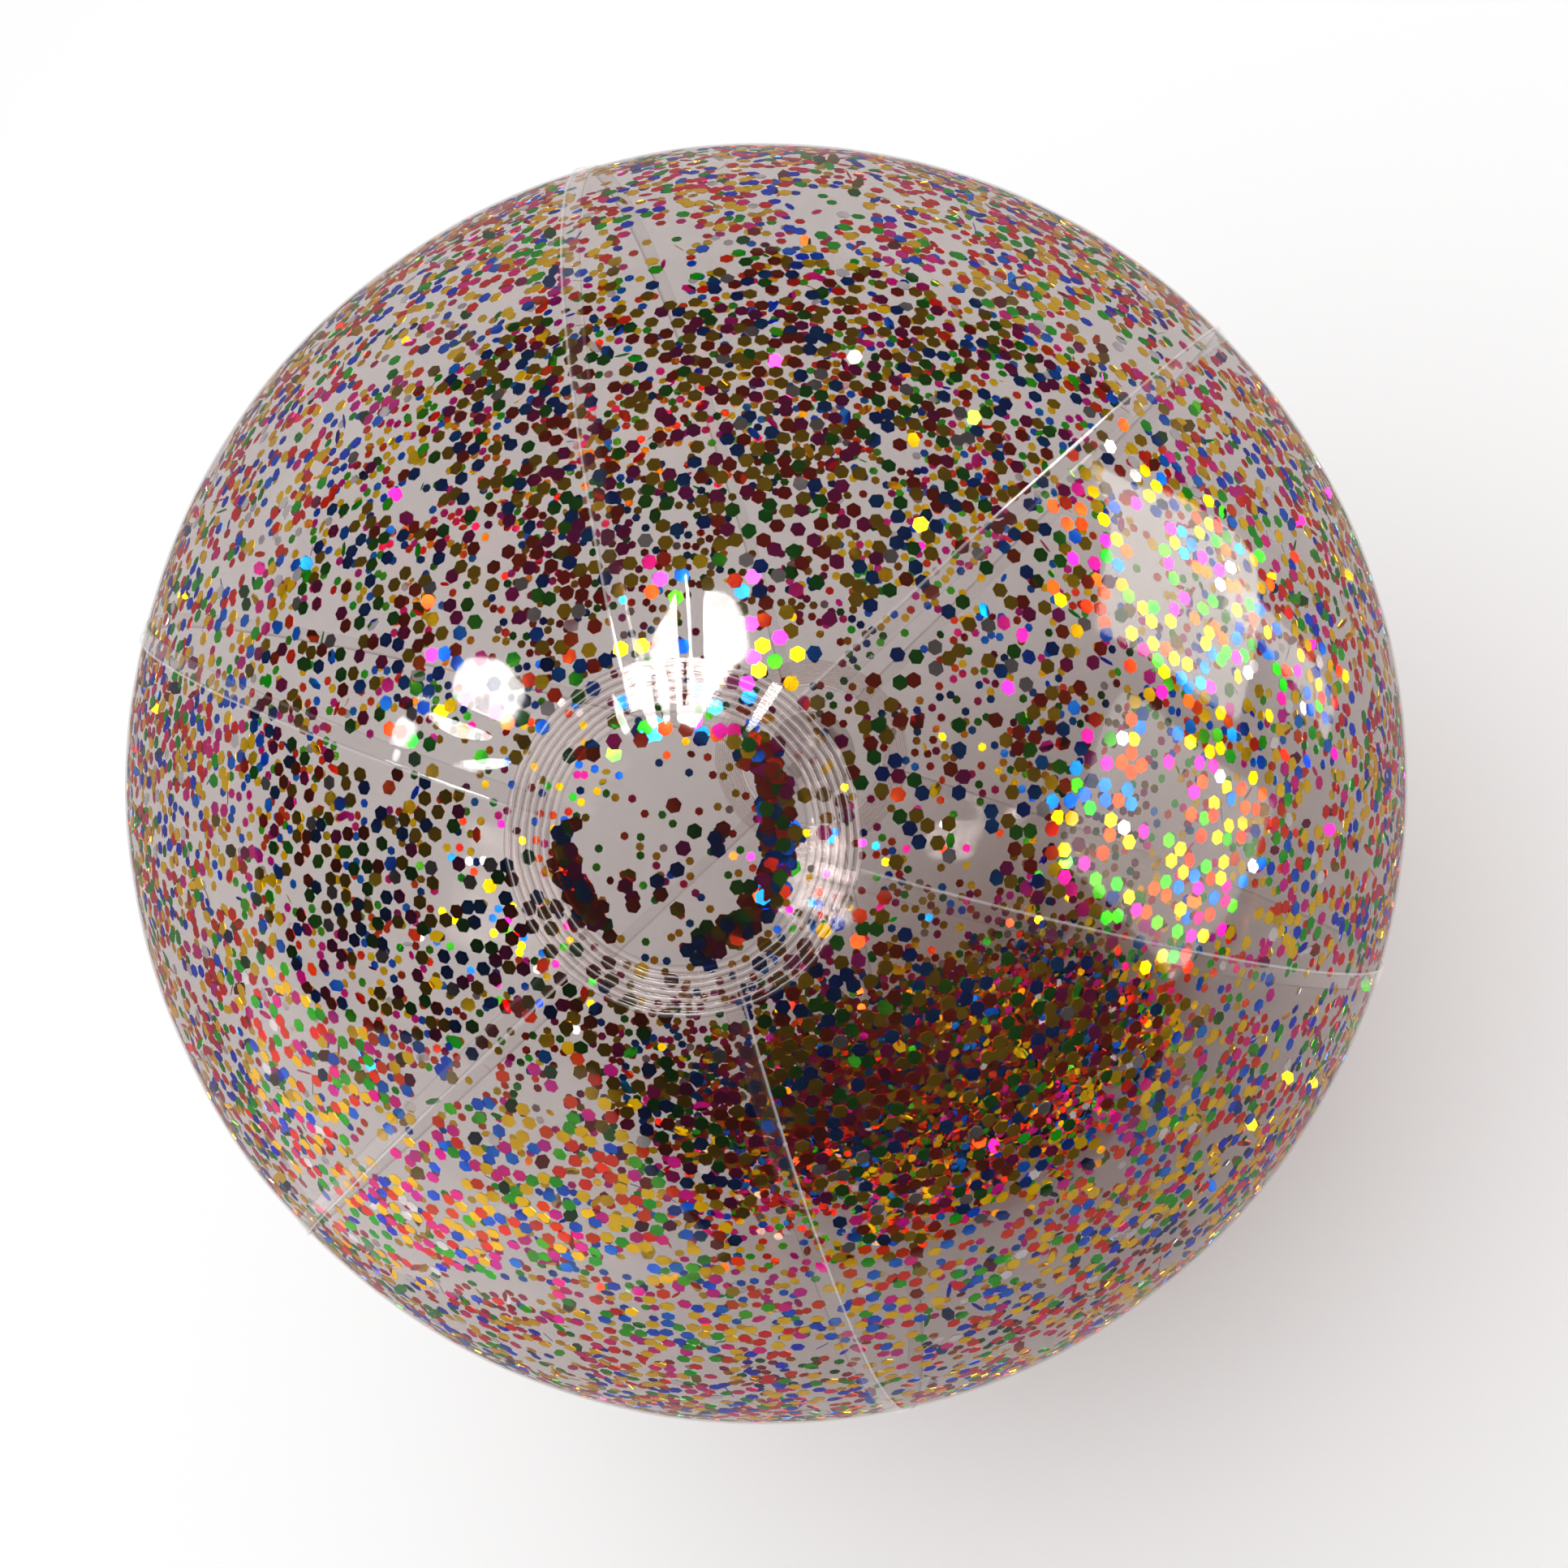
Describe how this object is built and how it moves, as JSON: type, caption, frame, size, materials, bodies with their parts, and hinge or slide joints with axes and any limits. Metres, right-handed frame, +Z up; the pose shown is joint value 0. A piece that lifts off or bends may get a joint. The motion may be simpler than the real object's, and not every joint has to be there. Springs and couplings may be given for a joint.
{
  "type": "inflatable beach ball",
  "caption": "Clear inflatable beach ball of lap-welded film panels with ribbed end patches, a push-in valve with plug and check flap, and loose multicoloured foil glitter sealed inside.",
  "frame": {"origin": "centre of the patch of film that is pressed flat on the floor", "axes": "+Z up; the ball's end-to-end axis leans 45.7 degrees from vertical, so the plain end patch faces up and towards -Y (the front) and the valve faces down and towards +Y (the back); +X is to the right seen from the front"},
  "size_m": [0.301, 0.3, 0.2978],
  "materials": {
    "clear_film": "clear glossy film",
    "patch_film": "clear glossy film with pressed weld ribs",
    "valve_plastic": "clear soft moulding",
    "foil_gold": "metallised foil",
    "foil_red": "metallised foil",
    "foil_blue": "metallised foil",
    "foil_green": "metallised foil",
    "foil_pink": "metallised foil",
    "foil_silver": "metallised foil",
    "foil_mixed": "metallised foil, mixed colours"
  },
  "bodies": {
    "ball": {"flake_blue_1_3": "foil_blue", "flake_blue_2_2": "foil_blue", "flake_blue_3_1": "foil_blue", "flake_blue_3_7": "foil_blue", "flake_blue_4_6": "foil_blue", "flake_blue_5_5": "foil_blue", "flake_blue_6_4": "foil_blue", "flake_gold_1_1": "foil_gold", "flake_gold_1_7": "foil_gold", "flake_gold_2_6": "foil_gold", "flake_gold_3_5": "foil_gold", "flake_gold_4_4": "foil_gold", "flake_gold_5_3": "foil_gold", "flake_gold_6_2": "foil_gold", "flake_green_1_4": "foil_green", "flake_green_2_3": "foil_green", "flake_green_3_2": "foil_green", "flake_green_4_1": "foil_green", "flake_green_4_7": "foil_green", "flake_green_5_6": "foil_green", "flake_green_6_5": "foil_green", "flake_pink_1_5": "foil_pink", "flake_pink_2_4": "foil_pink", "flake_pink_3_3": "foil_pink", "flake_pink_4_2": "foil_pink", "flake_pink_5_1": "foil_pink", "flake_pink_5_7": "foil_pink", "flake_pink_6_6": "foil_pink", "flake_red_1_2": "foil_red", "flake_red_2_1": "foil_red", "flake_red_2_7": "foil_red", "flake_red_3_6": "foil_red", "flake_red_4_5": "foil_red", "flake_red_5_4": "foil_red", "flake_red_6_3": "foil_red", "flake_silver_1_6": "foil_silver", "flake_silver_2_5": "foil_silver", "flake_silver_3_4": "foil_silver", "flake_silver_4_3": "foil_silver", "flake_silver_5_2": "foil_silver", "flake_silver_6_1": "foil_silver", "flake_silver_6_7": "foil_silver", "glitter_heap": "foil_mixed", "panel_1": "clear_film", "panel_2": "clear_film", "panel_3": "clear_film", "panel_4": "clear_film", "panel_5": "clear_film", "panel_6": "clear_film", "plain_end_patch": "patch_film", "valve_base": "valve_plastic", "valve_end_patch": "patch_film"},
    "stem": {"valve_stem": "valve_plastic"},
    "plug": {"valve_plug": "valve_plastic"},
    "flap": {"check_flap": "valve_plastic"}
  },
  "joints": [
    {"name": "valve_pull", "type": "slide", "parent": "ball", "child": "stem", "axis": [0, 0.7159, -0.6982], "range_m": [0, 0.009]},
    {"name": "plug_open", "type": "hinge", "parent": "stem", "child": "plug", "pos_m": [0.0105, 0.10998, 0.04056], "axis": [0, -0.6982, -0.7159], "range_deg": [0, 150]},
    {"name": "flap_open", "type": "hinge", "parent": "stem", "child": "flap", "pos_m": [0.0045, 0.09891, 0.05134], "axis": [0, 0.6982, 0.7159], "range_deg": [0, 60], "stiffness_Nm_per_rad": 0.0003}
  ]
}
